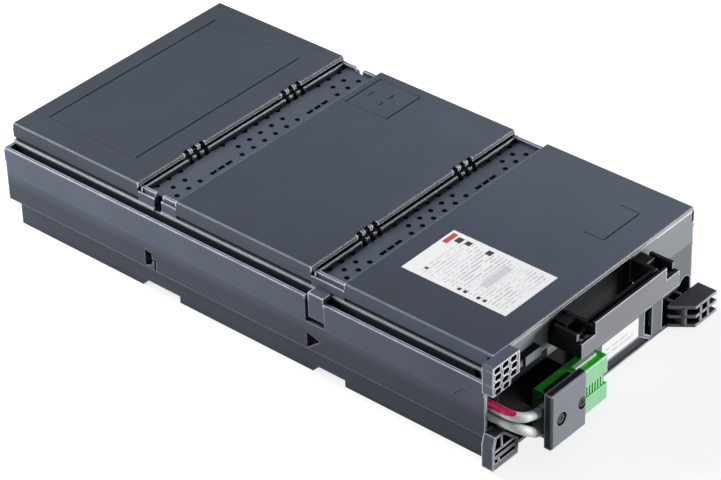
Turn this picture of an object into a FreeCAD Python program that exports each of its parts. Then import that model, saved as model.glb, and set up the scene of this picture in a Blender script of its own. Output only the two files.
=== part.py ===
import FreeCAD, Part
import math
import os

# ---------------------------------------------------------------- driving sizes (mm)
# The frame: origin at the centre of the tray underside, +Z up, the connector end faces -Y.
# A "drop" is a depth below the tops of the lids.

# six sealed blocks lying on their sides, two across and three along
block_size = (90.0, 101.0, 70.0)
block_round = 1.5
block_gap = 2.0                # rib between the two columns
block_end_gap = 1.0            # clearance ahead of the front row and behind the rear row
terminal_gap_rear = 70.5       # the rear and middle rows turn their terminals to this gap
terminal_gap_front = 46.0      # the front row turns its terminals to this one
lead_corridor = 13.5           # between the blocks and the side walls
foam_thick = 10.0
foam_inset = (15.0, 12.0)      # foam pads, in from the sides and the ends of a block
tab_size = (6.3, 6.5, 0.8)
tab_foot = (9.0, 1.0, 6.0)
tab_inset = 12.0               # in from the sides of a block
tab_drop = 10.5                # below the top face of a block
sleeve_size = (9.0, 13.0, 5.0)

# tray
wall = 2.5
floor_thick = 2.5
rail_out = 9.0                 # the outer rails stand this far outside the shell
rail_thick = 2.5
rail_overhang = 1.5            # and run on past it at the back
right_rail_short = 9.5         # the right rail stops this far short of the front
rail_drops = (17.0, 60.3)
panel_drops = (28.0, 38.0)     # shallow step along the rails
panel_step = 0.5
relief_height = 5.4            # the floor is raised this much between the three tubs
relief_shift = 2.0             # and lies this far behind the strips above it
rib_height = 20.0              # low cross ribs in front of the terminal faces
recess_depth = 9.0             # hollows let into the front wall
recess_wall = 2.0

# lids and the two perforated strips between them
lid_thick = 3.0
lid_round = 1.1
lid_skirt_drop = 11.5
lid_skirt_thick = 2.0
strip_width_rear = 35.5
strip_width_front = 28.6
strip_shift_rear = -1.3        # off the middle of the terminal gap below
strip_shift_front = 2.8
strip_drop = 6.25
strip_thick = 2.0
hole_dia = 4.2
hole_pitch = 11.5
hole_edge = 12.6               # outermost hole, in from the side of the shell
hole_rows = (0.172, 0.448, 0.704)     # shares of the strip width, from its rear edge
dash_size = (6.4, 2.8)
clip_x = 50.0                  # middle of each group of three snap slots
clip_pitch = 7.7
clip_slot = (4.8, 9.4)
groove_drop = 14.0             # lower end of the shadow groove round the top
bead_drop = 16.0               # underside of the thin bead the frame stands on
bead_out = 1.0
frame_wall = 2.4
apron_drop = 28.6              # seam between the top frame and the tray at the front
apron_thick = 2.5
snap_width = 13.4              # snap tabs that drop into the rails
snap_drop = 32.6
engrave_width = 1.2
engrave_depth = 0.4

# corner blocks at the connector end
corner_out = 2.0               # they stand this far outside the rails
corner_depth = 8.4
comb_block_drops = (0.4, 17.8, 22.6)   # top, end of the wide part and end of the narrow part
comb_block_widths = (27.0, 17.3)
cell_first = (4.4, 3.4)        # middle of the first cell, in from the corner and below the top
cell_pitch = (8.2, 5.6)
cell_half = (3.3, 2.1)
cell_depth = 6.2
brace_drops = (82.0, 69.5, 64.0, 56.0) # lower left corner block: foot, shoulder, eave and ridge
brace_widths = (25.8, 11.3, 2.3)       # its whole width and the two ends of the ridge
brace_skin = 1.6
brace_slots = (76.8, 73.6, 71.2, 68.4) # lower and upper edges of its two rows of slots
brace_sill = 66.6              # floor of the two cells under the ridge
brace_posts = (3.2, 6.4)       # openings left of the posts of its lower row and its cells
brace_post = 2.0
comb_depth = 16.0              # lower right corner block
comb_width = 35.6
comb_side = 0.3                # in from the face of the rail
comb_nose = (11.2, 14.5)       # slanted left end
comb_drops = (67.0, 74.4, 82.0)
comb_plate = 2.0
comb_rib = 2.2
comb_ribs = (5.4, 16.0)        # two of its ribs, in from its left end

# hand pocket, connector bay and the cut-away corner for the leads
pocket_middle = 1.0
pocket_width = 76.0
pocket_drop = 50.0
bay_inset = 12.0               # left end of the bay, in from the side of the shell
bay_right = -15.0
bay_drop = 32.0
slot_in = (52.5, 44.4)         # upright slot, in from the right side of the shell
slot_drops = (57.4, 76.0, 82.0)        # its top and the two ends of its slanted sill
foot_depth = 1.5               # shallow panel along the foot of the front wall
foot_left = 5.0
foot_rise = 1.2
foot_in = (58.5, 53.8, 45.8)
foot_drops = (75.4, 78.6)
niche_in = (32.5, 1.5)         # niche above and behind the right corner block
niche_drops = (57.4, 83.0)
niche_depth = 6.5
niche_round = 6.0              # radius of the bump in its upper edge
niche_round_at = (7.5, 59.5)   # in from the side and below the top
corner_cut = (15.0, 17.0)      # width and depth of the cut-away corner
corner_cut_drops = (24.5, 60.3)

# two-pole connector, its cover plate and the leads
plug_size = (58.5, 16.0, 36.0)
plug_bay_gap = 3.5
plug_stand = 7.5               # rear face ahead of the front wall
plug_drop = 39.5
plug_round = 1.6
pole_pitch = 16.0
lead_entry = 6.8               # the leads enter this far behind the front face
socket_depth = 30.0
socket_half = (4.2, 5.6)
plate_size = (36.2, 6.4, 43.2)
plate_past = 7.9               # past the left end of the connector
plate_lift = 0.4
plate_edge = 1.2
plate_lip = (8.0, 2.0)         # depth and height of the lip over the connector
plate_recess = (9.6, 2.6)      # round recesses for the screws: diameter and depth
plate_screw_in = (10.1, 4.0)   # in from the left and right edges of the plate
plate_screw_rise = 2.8         # above the middle of the connector
plate_screw = (6.8, 2.2, 2.8)  # head diameter, head height, shank diameter
plate_screw_grip = 2.4         # thread length in the connector housing
lead_dia = 6.8
lead_gap = 1.2                 # between the two leads
lead_wall_gap = 1.9            # between the leads and the tray wall
upper_lead_drop = 42.3
lead_turn = 13.0               # from the sleeve to the turn into the corridor
lead_reach = 18.5              # the leads swing out this far ahead of the front wall
link_dia = 5.0
link_rise = 8.0                # the crossing link lies this far above the others
link_drop = 40.5               # the long link runs along the wall at this depth
link_turn = 12.0               # from the sleeves to the turns of the links

# pull handle
handle_half = 52.4
handle_main = 38.0
handle_reach = 28.0
handle_depth = 9.6
handle_drops = (0.4, 21.2)
handle_ear_drop = 9.8
handle_arm_drop = 4.3
handle_back_drop = 3.3
handle_wall = 2.4
handle_step = 4.9              # the arms narrow by this much at the wall
handle_screw = (4.6, 2.6, 2.6) # head diameter, head height, shank diameter
handle_screw_length = 6.0
handle_screw_sink = 4.0        # seats of the screws below the tops of the ears

# labels
label_thick = 0.25
label_size = (54.1, 87.0)
label_in = (37.6, 20.5)        # in from the left side and the front edge of the front lid
front_label_size = (40.5, 15.9)
front_label_left = 6.7
front_label_drop = 57.7

# ---------------------------------------------------------------- derived sizes
BX, BY, BZ = block_size
HW = block_gap / 2.0 + BX + lead_corridor + wall
RW = HW + rail_out
CW = RW + corner_out
HL = (recess_depth + recess_wall + 2.0 * block_end_gap + 3.0 * BY + terminal_gap_rear
      + terminal_gap_front + wall) / 2.0
T = floor_thick + BZ + foam_thick + lid_thick
front_y = -HL
recess_y = front_y + recess_depth
front_row = recess_y + recess_wall + block_end_gap
middle_row = front_row + BY + terminal_gap_front
rear_row = middle_row + BY + terminal_gap_rear
row_starts = (rear_row, middle_row, front_row)
rear_strip = rear_row - terminal_gap_rear / 2.0 + strip_shift_rear
front_strip = middle_row - terminal_gap_front / 2.0 + strip_shift_front
# the strips as (front edge, rear edge) and the lids between them
strips = ((rear_strip - strip_width_rear / 2.0, rear_strip + strip_width_rear / 2.0),
          (front_strip - strip_width_front / 2.0, front_strip + strip_width_front / 2.0))
rear_lid_span = (strips[0][1], HL)
middle_lid_span = (strips[1][1], strips[0][0])
front_lid_span = (front_y, strips[1][0])
lid_under = T - lid_thick
strip_top = T - strip_drop
strip_under = strip_top - strip_thick
bead_bottom = T - bead_drop
groove_bottom = T - groove_drop
skirt_bottom = T - lid_skirt_drop
rail_top, rail_bottom = T - rail_drops[0], T - rail_drops[1]
apron_bottom = T - apron_drop
block_top = floor_thick + BZ
tab_z = block_top - tab_drop
tab_x = BX / 2.0 - tab_inset
column_x = (block_gap + BX) / 2.0
snap_y = front_strip - 3.7
corner_y = front_y - corner_depth
pocket_x = (pocket_middle - pocket_width / 2.0, pocket_middle + pocket_width / 2.0)
bay_x = (-HW + bay_inset, bay_right)
plug_x = (bay_right - plug_bay_gap - plug_size[0], bay_right - plug_bay_gap)
plug_y = (front_y - plug_stand - plug_size[1], front_y - plug_stand)
plug_z = (T - plug_drop - plug_size[2], T - plug_drop)
plug_middle = (plug_z[0] + plug_z[1]) / 2.0
entry_y = plug_y[0] + lead_entry
plate_x = (plug_x[0] - plate_past, plug_x[0] - plate_past + plate_size[0])
plate_z = (plug_z[0] + plate_lift, plug_z[0] + plate_lift + plate_size[2])
plate_screw_x = (plate_x[0] + plate_screw_in[0], plate_x[1] - plate_screw_in[1])
plate_screw_z = plug_middle + plate_screw_rise
corridor_x = -(HW - wall - lead_wall_gap - lead_dia / 2.0)
upper_lead_z = T - upper_lead_drop
lower_lead_z = upper_lead_z - lead_dia - lead_gap
bar_front = front_y - handle_reach
bar_back = bar_front + handle_depth


# ---------------------------------------------------------------- helpers
def V(x, y, z):
    return FreeCAD.Vector(x, y, z)


def box(x0, x1, y0, y1, z0, z1):
    low = V(min(x0, x1), min(y0, y1), min(z0, z1))
    return Part.makeBox(abs(x1 - x0), abs(y1 - y0), abs(z1 - z0), low)


def prism(points, direction):
    loop = Part.makePolygon(points + [points[0]])
    return Part.Face(loop).extrude(direction)


def prism_xy(points, z0, z1):
    return prism([V(x, y, z0) for x, y in points], V(0, 0, z1 - z0))


def prism_xz(points, y0, y1):
    return prism([V(x, y0, z) for x, z in points], V(0, y1 - y0, 0))


def prism_yz(points, x0, x1):
    return prism([V(x0, y, z) for y, z in points], V(x1 - x0, 0, 0))


def rod(radius, start, direction):
    return Part.makeCylinder(radius, direction.Length, start, direction)


def shank(radius, start, direction):
    """Eight-sided rod across the X axis, for what lies hidden under a screw head."""
    across = V(direction.x, direction.y, direction.z).normalize().cross(V(1, 0, 0))
    corners = []
    for k in range(9):
        angle = math.radians(45.0 * k + 22.5)
        corners.append(start + V(1, 0, 0) * (radius * math.cos(angle)) + across * (radius * math.sin(angle)))
    return Part.Face(Part.makePolygon(corners)).extrude(direction)


def polygon_hole(cx, cy, radius, sides, z0, z1):
    turn = 2.0 * math.pi / sides
    points = [(cx + radius * math.cos(turn * (i + 0.5)), cy + radius * math.sin(turn * (i + 0.5)))
              for i in range(sides)]
    return prism_xy(points, z0, z1)


def fuse(shapes):
    out = shapes[0]
    if len(shapes) > 1:
        out = out.multiFuse(shapes[1:])
    return out.removeSplitter()


def cut(shape, tools):
    return shape.cut(Part.makeCompound(tools)) if tools else shape


def mirror_x(shape):
    return shape.mirror(V(0, 0, 0), V(1, 0, 0))


def round_edges(shape, radius, wanted):
    edges = [e for e in shape.Edges if wanted(e)]
    return shape.makeFillet(radius, edges) if edges else shape


def bevel_edges(shape, size, wanted):
    edges = [e for e in shape.Edges if wanted(e)]
    return shape.makeChamfer(size, edges) if edges else shape


def at_height(edge, z):
    return all(abs(v.Point.z - z) < 1e-4 for v in edge.Vertexes)


def along(edge, axis):
    ends = [v.Point for v in edge.Vertexes]
    step = ends[-1] - ends[0]
    return abs(abs((step.x, step.y, step.z)[axis]) - step.Length) < 1e-4 and step.Length > 1.0


def tube(name, points, diameter, sides):
    """Cord through the points: straight runs joined by tangent arcs, with a many-sided section
    of the same area as the round one."""
    largest_bend = 60.0
    route = [V(*p) for p in points]
    edges, start, length = [], route[0], 0.0
    for i in range(1, len(route) - 1):
        corner = route[i]
        into, away = corner - route[i - 1], route[i + 1] - corner
        run = min(into.Length, away.Length)
        into.normalize()
        away.normalize()
        turn = math.acos(max(-1.0, min(1.0, into.dot(away))))
        bend = min(0.45 * run / math.tan(turn / 2.0), largest_bend)
        back = bend * math.tan(turn / 2.0)
        first, last = corner - into * back, corner + away * back
        inward = away - into
        inward.normalize()
        middle = corner + inward * (bend / math.cos(turn / 2.0) - bend)
        edges.append(Part.LineSegment(start, first).toShape())
        edges.append(Part.Arc(first, middle, last).toShape())
        length += (first - start).Length + bend * turn
        print("%s bend %d radius %.1f mm" % (name, i, bend))
        start = last
    edges.append(Part.LineSegment(start, route[-1]).toShape())
    length += (route[-1] - start).Length
    step = 2.0 * math.pi / sides
    radius = diameter / 2.0 * math.sqrt(step / math.sin(step))
    ahead = route[1] - route[0]
    ahead.normalize()
    side = ahead.cross(V(0, 0, 1))
    side.normalize()
    up = side.cross(ahead)
    turns = [step * (i + 0.5) for i in range(sides)]
    ring = [route[0] + side * (radius * math.cos(a)) + up * (radius * math.sin(a)) for a in turns]
    section = Part.makePolygon(ring + [ring[0]])
    solid = Part.Wire(edges).makePipeShell([section], True, False)
    area = math.pi * diameter * diameter / 4.0
    print("%s length %.1f mm, volume %.0f of %.0f mm3" % (name, length, solid.Volume, area * length))
    return solid


# ---------------------------------------------------------------- tray
def tub_profile(inset, top):
    """Side outline of the tray, raised between the tubs under the two strips."""
    end = HL - inset
    up = inset + relief_height
    points = [(-end, inset)]
    for y0, y1 in (strips[1], strips[0]):
        rise, fall = y0 + relief_shift - inset, y1 + relief_shift + inset
        points += [(rise, inset), (rise, up), (fall - relief_height, up), (fall, inset)]
    return points + [(end, inset), (end, top), (-end, top)]


def tub_shell():
    outer = prism_yz(tub_profile(0.0, bead_bottom), -HW, HW)
    inner = prism_yz(tub_profile(floor_thick, bead_bottom + 5.0), -HW + wall, HW - wall)
    return outer.cut(inner)


def rail_windows():
    """Openings of a rail: for the snap tab, an arrow below it, and a hook slot at the rear strip."""
    y0, y1 = snap_y, snap_y + snap_width + 3.0
    inside = HW + 3.0
    return [
        box(HW + 0.5, RW + 1, y0, y1, T - snap_drop - 4.2, rail_top + 5),
        prism_yz([(y1, T - 46.5), (y1, T - 59.0), (y1 - 12.0, T - 50.0)], inside, RW + 1),
        prism_yz([(rear_strip + 6.6, T - 45.0), (rear_strip + 0.3, T - 46.5), (rear_strip + 0.3, T - 56.3),
                  (rear_strip + 6.6, T - 58.2)], inside, RW + 1),
        box(inside, RW + 1, rear_strip - 3.3, rear_strip + 1.0, T - 52.4, T - 50.8),
        box(inside, RW + 1, rear_strip - 3.3, rear_strip - 1.7, rail_bottom - 1.0, T - 51.0),
    ]


def rail(front):
    """Outer rail on the +X side with its raised band, lower web, end wall and inner fins."""
    back = HL + rail_overhang
    inner, outer = RW - rail_thick, RW - panel_step
    high, low = T - panel_drops[0], T - panel_drops[1]
    band = [(front, high), (-HL + 18.0, high), (-HL + 27.0, low), (HL - 20.0, low),
            (HL - 16.5, low + 2.6), (HL - 14.6, high - 2.6), (HL - 11.5, high), (back, high),
            (back, rail_top), (front, rail_top)]
    parts = [box(inner, outer, front, back, rail_bottom, rail_top),
             prism_yz(band, inner, RW),
             box(HW - wall / 2.0, outer, front, back, rail_bottom, rail_bottom + wall),
             box(HW - wall, outer, back - wall, back, rail_bottom, rail_top)]
    fins = (front_strip - 60.0, front_strip + 60.0, rear_strip - 45.0, rear_strip + 55.0, rear_strip + 105.0)
    for y in fins:
        parts.append(box(HW - wall / 2.0, inner + 0.2, y - 0.9, y + 0.9, rail_bottom, rail_top - 16.0))
    return cut(fuse(parts), rail_windows())


def block_ribs():
    """Ribs that locate the six blocks on the floor."""
    low = floor_thick - 0.5
    reach = block_gap / 2.0 + BX
    rib = 2.0
    parts = []
    for y0 in row_starts:
        parts.append(box(-block_gap / 2.0, block_gap / 2.0, y0, y0 + BY, low, floor_thick + 0.42 * BZ))
        for y in (y0 + 14.0, y0 + BY - 14.0):
            for side in (-1, 1):
                parts.append(box(side * reach, side * (HW - wall / 2.0), y - rib / 2.0, y + rib / 2.0,
                                 low, floor_thick + 0.35 * BZ))
    for y in (rear_row - rib - 0.2, middle_row + BY + 0.2, front_row + BY + 0.2):
        parts.append(box(-HW + wall / 2.0, HW - wall / 2.0, y, y + rib, low, rib_height))
    return parts


def bumper_comb():
    """Lower right corner block: stacked plates on upright ribs that are rooted in the niche."""
    seat, tip = front_y + niche_depth + 0.5, front_y - comb_depth
    right = RW - comb_side
    left = right - comb_width
    nose = left + comb_nose[0]
    slope = comb_nose[1] / comb_nose[0]
    near = tip + comb_nose[1]
    plan = [(left, front_y), (right, front_y), (right, tip), (nose, tip), (left, near)]
    parts = [prism_xy(plan, T - drop - comb_plate, T - drop) for drop in comb_drops]
    floor, roof = T - comb_drops[-1] - comb_plate, T - comb_drops[0]
    for x in (left + comb_ribs[0], left + comb_ribs[1], HW - wall):
        out = max(tip, near - slope * (x - left))
        parts.append(prism_xy([(x, out), (x + comb_rib, max(tip, out - slope * comb_rib)),
                               (x + comb_rib, seat), (x, seat)], floor, roof))
    return parts


def braced_block():
    """Lower left corner block with two rows of slots and two cells under a ridge."""
    foot, shoulder, eave, ridge = (T - drop for drop in brace_drops)
    outer, ridge_end, ridge_start = (-CW + width for width in brace_widths)
    body = prism_xz([(-CW, foot), (outer, foot), (outer, shoulder), (ridge_end, ridge),
                     (ridge_start, ridge), (-CW, eave)], corner_y, front_y + 1.0)
    skin = brace_skin
    left, right = -CW + skin, outer - 2.0 * skin
    low0, low1, high0, high1 = (T - drop for drop in brace_slots)
    low_post, high_post = (left + width for width in brace_posts)
    sill, top = T - brace_sill, ridge - skin
    slant = (outer - ridge_end) / (ridge - shoulder)
    under_ridge, under_roof = (ridge_end + (ridge - z) * slant - 1.5 * skin for z in (top, sill))
    front, deep = corner_y - 1.0, corner_y + cell_depth
    holes = [
        box(left, low_post, front, deep, low0, low1),
        box(low_post + brace_post, right, front, deep, low0, low1),
        box(left, right, front, deep, high0, high1),
        prism_xz([(left, sill), (high_post, sill), (high_post, top), (ridge_start + skin, top),
                  (left, eave - skin)], front, deep),
        prism_xz([(high_post + brace_post, sill), (under_roof, sill), (under_ridge, top),
                  (high_post + brace_post, top)], front, deep),
    ]
    return cut(body, holes)


def connector_post():
    """Hollow post on the bay's back wall that carries the connector."""
    x0, x1 = plug_x[0] + 15.0, pocket_x[0] - recess_wall - 2.0
    z0, z1 = plug_z[0] + 6.0, plug_z[1] - 4.0
    skin = 3.0
    post = box(x0, x1, plug_y[1], recess_y + 0.5, z0, z1)
    return post.cut(box(x0 + skin, x1 - skin, plug_y[1] + skin, recess_y + 1.0, z0 + skin, z1 - skin))


def base_tray():
    w = recess_wall
    pocket_bottom, bay_bottom = T - pocket_drop, floor_thick
    tray = fuse([tub_shell(), mirror_x(rail(front_y)), rail(front_y + right_rail_short)] + block_ribs() + [
        box(pocket_x[0] - w, pocket_x[1] + w, front_y, recess_y + w, pocket_bottom - w, apron_bottom),
        box(bay_x[0] - w, bay_x[1] + w, front_y, recess_y + w, 0.0, T - bay_drop + w),
        box(HW - niche_in[0] - w, HW, front_y, front_y + niche_depth + w, 0.0, T - niche_drops[0] + 8.0)])
    niche_x, round_x = (HW - niche_in[0], HW - niche_in[1]), HW - niche_round_at[0]
    tray = cut(tray, [
        box(pocket_x[0], pocket_x[1], front_y - 1, recess_y, pocket_bottom, T),
        box(bay_x[0], bay_x[1], front_y - 1, recess_y, bay_bottom, T - bay_drop),
        # the front wall above the seam belongs to the top frame
        box(-HW - 0.5, HW + 0.5, front_y - 1, recess_y + w, apron_bottom, T),
        # cut-away corner where the leads come out
        box(-RW + rail_thick, -HW + corner_cut[0], front_y - 1, front_y + corner_cut[1],
            T - corner_cut_drops[1], T),
        # upright slot with a slanted sill, and the set-back foot of the front wall
        prism_xz([(HW - slot_in[0], T - slot_drops[0]), (HW - slot_in[1], T - slot_drops[0]),
                  (HW - slot_in[1], T - slot_drops[2]), (HW - slot_in[0], T - slot_drops[1])],
                 front_y - 1, front_y + wall + 1),
        prism_xz([(foot_left, foot_rise), (HW - foot_in[2], foot_rise), (HW - foot_in[1], T - foot_drops[1]),
                  (HW - foot_in[0], T - foot_drops[0]), (foot_left, T - foot_drops[0])],
                 front_y - 1, front_y + foot_depth),
        # niche above and behind the right corner block
        box(niche_x[0], niche_x[1], front_y - 1, front_y + niche_depth,
            T - niche_drops[1], T - niche_drops[0]),
        rod(niche_round, V(round_x, front_y - 1, T - niche_round_at[1]), V(0, niche_depth + 1, 0))])
    return fuse([tray, connector_post(), braced_block()] + bumper_comb())


# ---------------------------------------------------------------- top frame
def strip_holes(front, rear):
    """Staggered rows of round holes, with three dashes in the last row at each clip group."""
    z0, z1 = strip_under - 1, strip_top + 1
    rows = [rear - share * (rear - front) for share in hole_rows]
    even = [hole_pitch * (k + 0.5) for k in range(3)] + [HW - hole_edge - hole_pitch * k for k in range(3)]
    odd = [hole_pitch * k for k in range(3)] + [HW - hole_edge - hole_pitch * (k + 0.5) for k in range(2)]
    places = set()
    for row, y in enumerate(rows):
        for x in odd if row == 1 else even:
            places.update([(x, y), (-x, y)])
    tools = [polygon_hole(x, y, hole_dia / 2.0, 8, z0, z1) for x, y in sorted(places)]
    for x in clip_places():
        tools.append(box(x - dash_size[0] / 2.0, x + dash_size[0] / 2.0, rows[2] - dash_size[1] / 2.0,
                         rows[2] + dash_size[1] / 2.0, z0, z1))
    return tools


def clip_places():
    return [side * clip_x + k * clip_pitch for side in (-1, 1) for k in (-1, 0, 1)]


def clip_cuts(edge_y, z_low):
    """Open slots across a lid edge and the rib in front of it."""
    width, length = clip_slot
    y0, y1 = edge_y - 0.66 * length, edge_y + 0.34 * length
    return [box(x - width / 2.0, x + width / 2.0, y0, y1, z_low, T + 1) for x in clip_places()]


def strip_parts(y0, y1, inner):
    """One perforated strip with the upright walls under the lid edges and a thin rib on show."""
    parts = [box(-HW, HW, y0 + 0.01, y1 - 0.01, strip_under, strip_top),
             box(-HW, HW, y0, y1, bead_bottom, groove_bottom),
             box(-inner, inner, y0 - 4.5, y0 - 2.5, strip_under, lid_under),
             box(-inner, inner, y1 + 3.5, y1 + 5.5, strip_under, lid_under),
             box(-inner, inner, y0 - 4.5, y0 + 0.5, strip_under, strip_top),
             box(-inner, inner, y1 - 0.5, y1 + 5.5, strip_under, strip_top),
             box(-HW + 1.0, HW - 1.0, y1 - 3.6, y1 - 2.2, strip_under, lid_under - 0.4)]
    for s in (-1, 1):
        parts.append(box(s * (HW - frame_wall), s * HW, y0, y1, groove_bottom - 0.5, strip_top))
    return parts


def honeycomb():
    """Upper left corner block with rows of open cells."""
    high, wide_end, low = (T - drop for drop in comb_block_drops)
    wide, narrow = comb_block_widths
    body = fuse([box(-CW, -CW + wide, corner_y, front_y + 0.5, wide_end, high),
                 box(-CW, -CW + narrow, corner_y, front_y + 0.5, low, wide_end + 1.0)])
    w, h = cell_half
    slope = 1.2
    tools = []
    for row in range(4):
        z = T - cell_first[1] - cell_pitch[1] * row
        for col in range(3 if row < 3 else 2):
            x = -CW + cell_first[0] + cell_pitch[0] * col + (0.8 if row % 2 else 0.0)
            points = [(x - w, z), (x - w + slope, z + h), (x + w - slope, z + h), (x + w, z),
                      (x + w - slope, z - h), (x - w + slope, z - h)]
            tools.append(prism_xz(points, corner_y - 1, corner_y + cell_depth))
    return cut(body, tools)


def bay_hook():
    """Small catch above the connector bay."""
    out = front_y - 6.0
    profile = [(front_y + 0.5, T - 13.0), (out, T - 13.0), (out, T - 20.0), (out + 2.4, T - 20.0),
               (out + 2.4, T - 16.0), (front_y + 0.5, T - 16.0)]
    return prism_yz(profile, -HW + 25.0, -HW + 41.0)


def apron_parts():
    """Front wall of the top frame with the upper part of the hand pocket."""
    w = recess_wall
    parts = [box(-HW, HW, front_y, front_y + apron_thick, apron_bottom, lid_under),
             box(-HW, HW, front_y, front_y + 2.0 * apron_thick, bead_bottom, lid_under),
             box(pocket_x[0] - w, pocket_x[1] + w, front_y, recess_y + w, apron_bottom, lid_under)]
    for s in (-1, 1):
        parts.append(box(s * HW, s * (HW - wall), front_y, recess_y + w, apron_bottom, bead_bottom + 1))
    return parts + [honeycomb(), bay_hook()]


def snap_tabs():
    y0, y1 = snap_y + 0.2, snap_y + 0.2 + snap_width
    top = T - 13.0
    parts = []
    for s in (-1, 1):
        parts.append(box(s * (RW - rail_thick), s * (RW - 0.1), y0, y1, T - snap_drop, top))
        parts.append(box(s * (HW - 0.5), s * (RW - 0.1), y0, y1, bead_bottom, top))
    return parts


def top_frame():
    out = HW + bead_out
    inner = HW - lid_skirt_thick - frame_wall
    back = HL
    rim = frame_wall + lid_skirt_thick
    bead = box(-out, out, front_y, back, bead_bottom, groove_bottom)
    waist = box(-HW + bead_out, HW - bead_out, front_y, back - bead_out, groove_bottom, skirt_bottom)
    core = box(-HW + lid_skirt_thick, HW - lid_skirt_thick, front_y, back - lid_skirt_thick,
               skirt_bottom, lid_under)
    hollow = box(-inner, inner, front_y + rim, back - rim, bead_bottom - 1, T)
    parts = [cut(fuse([bead, waist, core]), [hollow])]
    for y0, y1 in strips:
        parts += strip_parts(y0, y1, inner + 0.5)
    frame = fuse(parts)
    tools = []
    for y0, y1 in strips:
        tools += strip_holes(y0, y1)
        tools += clip_cuts(y1, strip_under - 0.5)
        tools.append(box(-inner, inner, y0 - 6.0, y1 + 6.0, bead_bottom - 1, strip_under))
    for s in (-1, 1):
        tools.append(box(s * (HW - 5.5), s * (out + 1), rear_strip - 4.0, rear_strip + 2.5,
                         bead_bottom - 1, T))
    frame = fuse([cut(frame, tools)] + apron_parts() + snap_tabs())
    return cut(frame, [
        box(pocket_x[0], pocket_x[1], front_y - 1, recess_y, apron_bottom - 1, T),
        box(-HW - 1, -HW + corner_cut[0], front_y - 0.01, front_y + corner_cut[1], apron_bottom - 1,
            T - corner_cut_drops[0])])


# ---------------------------------------------------------------- lids
def lid(span, closed_back):
    """Flat lid with rounded edges and side skirts; the rear one has a skirt at the back too."""
    y0, y1 = span
    top = round_edges(box(-HW, HW, y0, y1, lid_under, T), lid_round, lambda e: at_height(e, T))
    parts = [top]
    for s in (-1, 1):
        parts.append(box(s * (HW - lid_skirt_thick), s * HW, y0, y1, skirt_bottom, lid_under + 0.5))
    if closed_back:
        parts.append(box(-HW, HW, y1 - lid_skirt_thick, y1, skirt_bottom, lid_under + 0.5))
    return fuse(parts)


def engraved(points):
    return prism_xy(points, T - engrave_depth, T + 1)


def engraved_frame(x0, x1, y0, y1):
    g = engrave_width
    outer = box(x0, x1, y0, y1, T - engrave_depth, T + 1)
    return outer.cut(box(x0 + g, x1 - g, y0 + g, y1 - g, T - 1, T + 2))


def rear_lid():
    y0, y1 = rear_lid_span
    outline = engraved_frame(-HW + 21.0, HW - 21.0, y0 + 22.3, y1 - 15.1)
    return cut(lid(rear_lid_span, True), clip_cuts(y0, lid_under - 1) + [outline])


def middle_lid():
    """Carries a square field with a plain arrow towards the connector end."""
    y0, y1 = middle_lid_span
    side, margin_x, margin_y = 39.0, 7.6, 6.3
    x_low, y_low = HW - margin_x - side, y1 - margin_y - side
    cx, cy = x_low + side / 2.0, y_low + side / 2.0
    stem, head, length = 3.0, 9.0, 12.5
    neck = cy - 2.0
    arrow = [(cx - stem, cy + length), (cx + stem, cy + length), (cx + stem, neck), (cx + head, neck),
             (cx, cy - length), (cx - head, neck), (cx - stem, neck)]
    field = engraved_frame(x_low, x_low + side, y_low, y_low + side)
    return cut(lid(middle_lid_span, False), clip_cuts(y0, lid_under - 1) + [field, engraved(arrow)])


def front_lid():
    x0, x1 = HW - 70.0, HW - 29.0
    y0, y1 = front_y + 22.5, front_y + 39.0
    g = engrave_width
    bracket = [(x0, y0), (x1, y0), (x1, y1), (x1 - g, y1), (x1 - g, y0 + g), (x0 + g, y0 + g),
               (x0 + g, y1), (x0, y1)]
    return cut(lid(front_lid_span, False), [engraved(bracket)])


# ---------------------------------------------------------------- blocks, tabs and foam
def block_places():
    """(centre x, lower y face, direction in which the terminals point) for the six blocks."""
    return [(side * column_x, y0, -1 if y0 == rear_row else 1) for y0 in row_starts for side in (-1, 1)]


def sealed_block(cx, y0, face):
    """Case with bevelled long edges and the seam of its cover near the terminal face."""
    x0, x1 = cx - BX / 2.0, cx + BX / 2.0
    body = box(x0, x1, y0, y0 + BY, floor_thick, block_top)
    body = bevel_edges(body, block_round, lambda e: along(e, 1))
    seam = (y0 if face < 0 else y0 + BY) - face * 9.0
    deep, half = 0.6, 0.5
    ring = box(x0 - 1, x1 + 1, seam - half, seam + half, floor_thick - 1, block_top + 1)
    core = box(x0 + deep, x1 - deep, seam - 1, seam + 1, floor_thick + deep, block_top - deep)
    return body.cut(ring.cut(core))


def terminal_y(row):
    """Terminal face of a row (0 rear, 1 middle, 2 front) and the way it faces."""
    return (row_starts[row], -1) if row == 0 else (row_starts[row] + BY, 1)


def tab_places():
    return [(side * column_x + s * tab_x,) + terminal_y(row)
            for row in range(3) for side in (-1, 1) for s in (-1, 1)]


def terminal_tabs():
    w, length, t = tab_size
    solids = []
    for x, y, face in tab_places():
        base = box(x - tab_foot[0] / 2.0, x + tab_foot[0] / 2.0, y, y + face * tab_foot[1],
                   tab_z - tab_foot[2] / 2.0, tab_z + tab_foot[2] / 2.0)
        blade = box(x - w / 2.0, x + w / 2.0, y, y + face * length, tab_z - t / 2.0, tab_z + t / 2.0)
        solids.append(fuse([base, blade]))
    return Part.makeCompound(solids)


def tab_sleeves():
    w, length, t = tab_size
    sx, sy, sz = sleeve_size
    solids = []
    for x, y, face in tab_places():
        near = y + face * tab_foot[1]
        body = box(x - sx / 2.0, x + sx / 2.0, near, near + face * sy, tab_z - sz / 2.0, tab_z + sz / 2.0)
        slot = box(x - w / 2.0, x + w / 2.0, y, y + face * length, tab_z - t / 2.0, tab_z + t / 2.0)
        solids.append(body.cut(slot))
    return Part.makeCompound(solids)


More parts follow.
